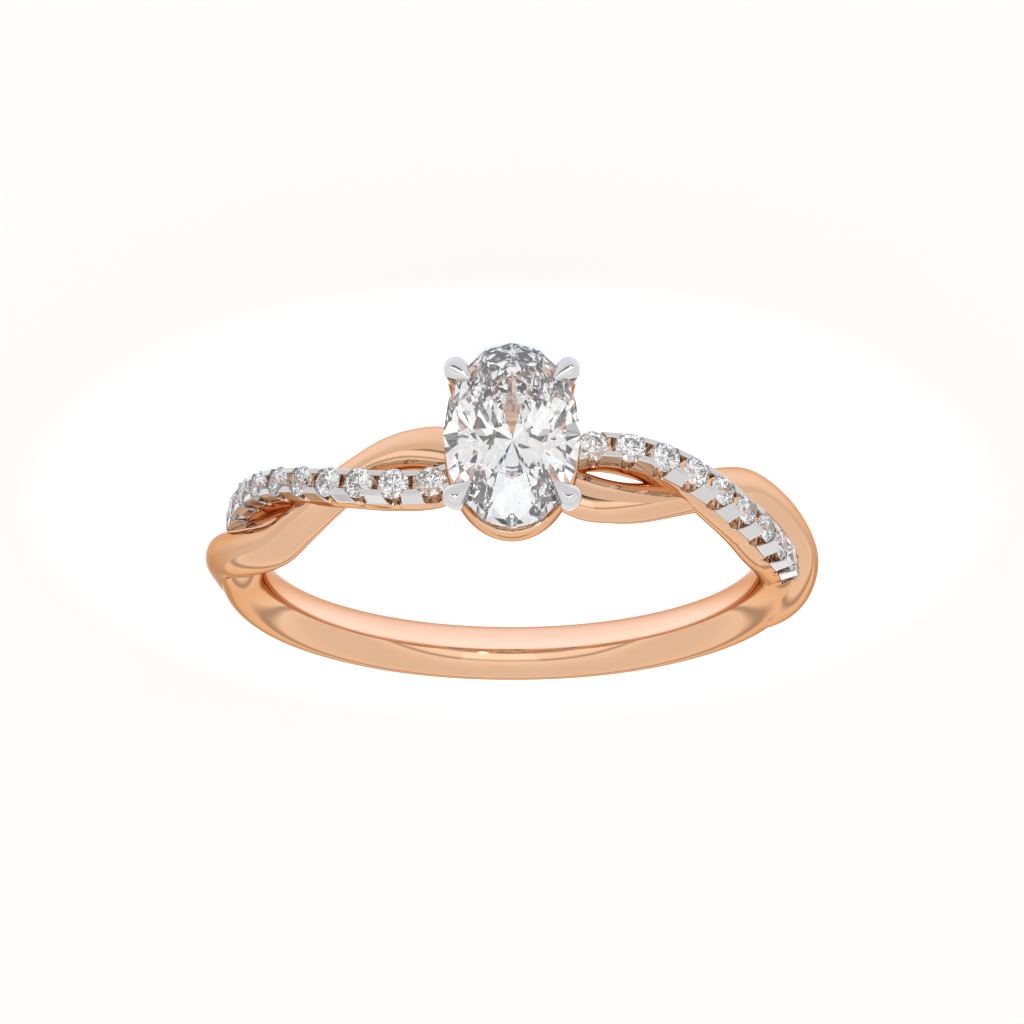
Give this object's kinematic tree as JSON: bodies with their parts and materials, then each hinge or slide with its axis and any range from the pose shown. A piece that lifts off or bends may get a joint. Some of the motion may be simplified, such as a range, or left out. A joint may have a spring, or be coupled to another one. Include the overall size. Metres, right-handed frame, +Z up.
{
  "type": "twisted engagement ring with an oval stone",
  "caption": "Finger ring of two crossing strands, one plain and one set with small round stones, and a four-claw basket that holds an oval cut stone.",
  "frame": {"origin": "centre of the bounding box at floor level, with the ring lying on its side", "axes": "+Y from the oval stone to the back of the band, +Z up, +X to the side"},
  "size_m": [0.0214, 0.023, 0.0065],
  "materials": {
    "rose_gold": "polished rose gold",
    "white_gold": "polished white gold",
    "diamond": "clear cut stone"
  },
  "bodies": {
    "root": {"band": "rose_gold", "oval_stone": "diamond", "pave_bars_left": "white_gold", "pave_bars_right": "white_gold", "claw_tip_1": "white_gold", "claw_tip_2": "white_gold", "claw_tip_3": "white_gold", "claw_tip_4": "white_gold", "small_stone_1": "diamond", "small_stone_2": "diamond", "small_stone_3": "diamond", "small_stone_4": "diamond", "small_stone_5": "diamond", "small_stone_6": "diamond", "small_stone_7": "diamond", "small_stone_8": "diamond", "small_stone_9": "diamond", "small_stone_10": "diamond", "small_stone_11": "diamond", "small_stone_12": "diamond", "small_stone_13": "diamond", "small_stone_14": "diamond", "small_stone_15": "diamond", "small_stone_16": "diamond", "small_stone_17": "diamond", "small_stone_18": "diamond", "small_stone_19": "diamond", "small_stone_20": "diamond"}
  },
  "joints": []
}
